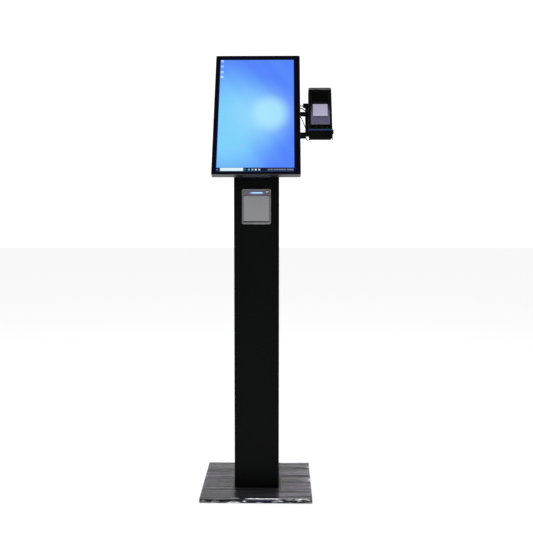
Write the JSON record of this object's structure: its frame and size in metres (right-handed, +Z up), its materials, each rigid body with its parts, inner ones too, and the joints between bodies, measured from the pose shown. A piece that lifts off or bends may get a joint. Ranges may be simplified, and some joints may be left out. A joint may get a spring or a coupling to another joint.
{
  "type": "touchscreen kiosk",
  "caption": "Floor-standing touchscreen kiosk: tilted portrait display on a black post with a receipt printer, and a payment terminal in a side holder.",
  "frame": {"origin": "centre of the post's footprint, on the floor under the feet", "axes": "+Z up, the display and printer face -Y, +X towards the payment terminal"},
  "size_m": [0.5133, 0.4436, 1.7381],
  "materials": {
    "base": "gloss black enamel",
    "powder_coat": "satin black powder coat",
    "steel": "plain steel",
    "chrome": "bright plated",
    "rubber": "matt black",
    "film": "clear crinkled wrap",
    "black_plastic": "fine texture",
    "gloss_black": "polished",
    "bezel": "satin grey",
    "printer_door": "satin grey",
    "light_bar": "lit blue-white diffuser",
    "paper": "thermal paper",
    "nylon": "natural nylon",
    "frame": "satin black anodised look",
    "screen": "lit display behind cover glass",
    "board": "circuit board lacquer",
    "blue_trim": "slate blue gloss",
    "terminal_screen": "cover glass of a payment terminal",
    "cable": "black jacket"
  },
  "bodies": {
    "stand": {"base_cover": "base", "counterweight": "steel", "foot_pad_centre": "rubber", "foot_pad_front_left": "rubber", "foot_pad_front_right": "rubber", "foot_pad_rear_left": "rubber", "foot_pad_rear_right": "rubber", "protective_film": "film", "post_flange": "powder_coat", "post_shell": "powder_coat", "hinge_leaf_upper": "powder_coat", "hinge_leaf_lower": "powder_coat", "hinge_pin_upper": "steel", "hinge_pin_lower": "steel", "post_cap": "powder_coat", "cable_grommet": "rubber", "equipment_shelf": "powder_coat", "power_supply": "black_plastic", "mains_inlet": "black_plastic", "printer_bezel": "bezel", "printer_housing": "black_plastic", "printer_hinge_pin": "steel", "printer_light_bar": "light_bar", "feed_motor": "steel", "print_head": "steel", "cutter_blade": "steel", "tilt_yoke": "powder_coat", "tilt_bolt_left": "steel", "tilt_bolt_right": "steel"},
    "service_door": {"rear_door": "powder_coat", "door_lock_barrel": "chrome"},
    "door_cam": {"door_lock_cam": "chrome"},
    "rocker": {"rocker_switch": "black_plastic"},
    "receipt_door": {"printer_door": "printer_door"},
    "platen": {"platen_roller": "rubber", "platen_gear": "nylon"},
    "idler": {"idler_gear": "nylon"},
    "pinion": {"motor_pinion": "nylon"},
    "receipt_roll": {"paper_roll": "paper"},
    "release_button": {"printer_button": "chrome"},
    "display": {"display_frame": "frame", "display_glass": "screen", "lcd_panel": "black_plastic", "main_board": "board", "rear_housing": "powder_coat", "speaker_left": "black_plastic", "speaker_right": "black_plastic", "vesa_bracket": "powder_coat", "terminal_bracket": "powder_coat", "terminal_holder": "powder_coat", "card_lip": "blue_trim", "terminal_body": "black_plastic", "terminal_screen": "terminal_screen", "data_lead": "cable", "power_lead": "cable", "signal_lead": "cable"},
    "power_button": {"display_button": "black_plastic"},
    "lock_screw": {"holder_lock": "black_plastic"},
    "terminal_paper_door": {"terminal_cover": "gloss_black"},
    "terminal_roll": {"terminal_paper_roll": "paper"}
  },
  "joints": [
    {"name": "display_tilt", "type": "hinge", "parent": "stand", "child": "display", "pos_m": [0, 0.04543, 1.3812], "axis": [1, 0, 0], "range_deg": [-15, 10]},
    {"name": "service_door_hinge", "type": "hinge", "parent": "stand", "child": "service_door", "pos_m": [-0.0885, 0.069, 0.6275], "axis": [0, 0, 1], "range_deg": [0, 110]},
    {"name": "door_cam_turn", "type": "hinge", "parent": "service_door", "child": "door_cam", "pos_m": [0.058, 0.0675, 0.63], "axis": [0, 1, 0], "range_deg": [0, 90]},
    {"name": "rocker_press", "type": "hinge", "parent": "stand", "child": "rocker", "pos_m": [-0.0195, 0.065, 0.068], "axis": [1, 0, 0], "range_deg": [0, 14]},
    {"name": "receipt_door_hinge", "type": "hinge", "parent": "stand", "child": "receipt_door", "pos_m": [0, -0.0655, 1.0755], "axis": [1, 0, 0], "range_deg": [0, 80]},
    {"name": "platen_spin", "type": "hinge", "parent": "receipt_door", "child": "platen", "pos_m": [0, -0.052, 1.157], "axis": [1, 0, 0], "continuous": true},
    {"name": "idler_spin", "type": "hinge", "parent": "stand", "child": "idler", "pos_m": [0, -0.04342, 1.14581], "axis": [1, 0, 0], "continuous": true},
    {"name": "pinion_spin", "type": "hinge", "parent": "stand", "child": "pinion", "pos_m": [0, -0.03232, 1.14099], "axis": [1, 0, 0], "continuous": true},
    {"name": "receipt_roll_spin", "type": "hinge", "parent": "stand", "child": "receipt_roll", "pos_m": [0, -0.022, 1.0935], "axis": [1, 0, 0], "continuous": true},
    {"name": "release_press", "type": "slide", "parent": "stand", "child": "release_button", "axis": [0, 1, 0], "range_m": [0, 0.002], "stiffness_N_per_m": 400},
    {"name": "power_press", "type": "slide", "parent": "display", "child": "power_button", "axis": [0, 0.4848, 0.8746], "range_m": [0, 0.0012], "stiffness_N_per_m": 400},
    {"name": "lock_screw_turn", "type": "hinge", "parent": "display", "child": "lock_screw", "pos_m": [0.293, -0.02075, 1.41445], "axis": [1, 0, 0], "range_deg": [0, 90]},
    {"name": "terminal_paper_door_hinge", "type": "hinge", "parent": "display", "child": "terminal_paper_door", "pos_m": [0.2475, 0.03909, 1.53849], "axis": [1, 0, 0], "range_deg": [0, 75]},
    {"name": "terminal_roll_spin", "type": "hinge", "parent": "display", "child": "terminal_roll", "pos_m": [0.2475, 0.06887, 1.54828], "axis": [1, 0, 0], "continuous": true}
  ],
  "couplings": [
    {"joint": "idler_spin", "follows": "platen_spin", "ratio": -0.75},
    {"joint": "pinion_spin", "follows": "platen_spin", "ratio": 1.5}
  ]
}
